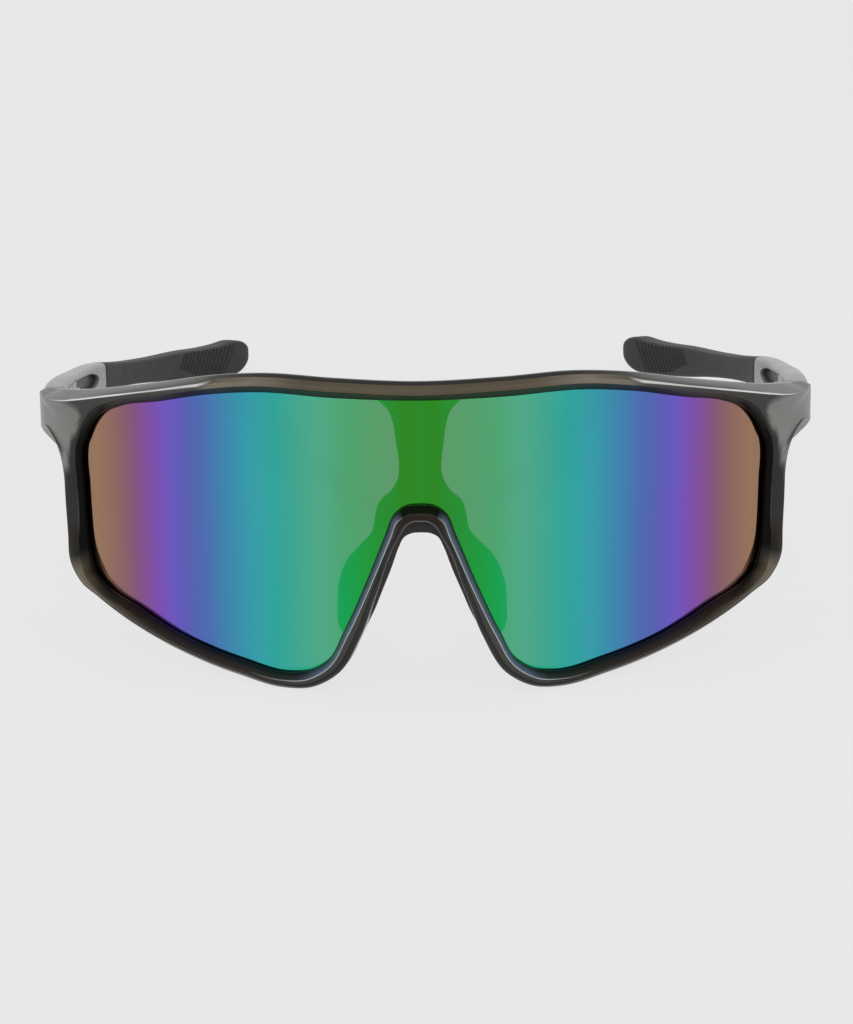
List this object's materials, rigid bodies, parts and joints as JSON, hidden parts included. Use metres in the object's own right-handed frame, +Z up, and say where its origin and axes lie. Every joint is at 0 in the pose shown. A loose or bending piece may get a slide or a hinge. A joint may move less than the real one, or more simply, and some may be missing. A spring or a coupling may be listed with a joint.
{
  "type": "sports sunglasses",
  "caption": "Wrap-around sports sunglasses with one mirrored shield lens, a full rim, soft nose pads and folding temples with rubber sleeves.",
  "frame": {"origin": "centre of the bounding box in plan, on the surface that the glasses stand on", "axes": "+X to the wearer's left, which is the right of the picture; -Y out of the lens; +Z up; the glasses stand open on the lower rim and the temple tips"},
  "size_m": [0.1458, 0.1692, 0.0545],
  "materials": {
    "smoke_plastic": "gloss",
    "mirrored_lens": "mirror",
    "grey_rubber": "matte",
    "hinge_steel": "satin"
  },
  "bodies": {
    "front": {"frame_front": "smoke_plastic", "shield_lens": "mirrored_lens", "nose_bridge": "smoke_plastic", "nose_pad_left": "grey_rubber", "nose_pad_right": "grey_rubber", "frame_hinge_left": "hinge_steel", "frame_hinge_right": "hinge_steel", "hinge_pin_left": "hinge_steel", "hinge_pin_right": "hinge_steel", "frame_screw_left_1": "hinge_steel", "frame_screw_left_2": "hinge_steel", "frame_screw_right_1": "hinge_steel", "frame_screw_right_2": "hinge_steel"},
    "left_temple": {"temple_arm_left": "smoke_plastic", "temple_sleeve_left": "grey_rubber", "temple_hinge_left": "hinge_steel", "temple_screw_left_1": "hinge_steel", "temple_screw_left_2": "hinge_steel"},
    "right_temple": {"temple_arm_right": "smoke_plastic", "temple_sleeve_right": "grey_rubber", "temple_hinge_right": "hinge_steel", "temple_screw_right_1": "hinge_steel", "temple_screw_right_2": "hinge_steel"}
  },
  "joints": [
    {"name": "left_fold", "type": "hinge", "parent": "front", "child": "left_temple", "pos_m": [-0.06542, -0.03402, 0.03497], "axis": [0, -0.1963, -0.9805], "range_deg": [0, 85]},
    {"name": "right_fold", "type": "hinge", "parent": "front", "child": "right_temple", "pos_m": [0.06542, -0.03402, 0.03497], "axis": [0, 0.1963, 0.9805], "range_deg": [0, 76]}
  ]
}
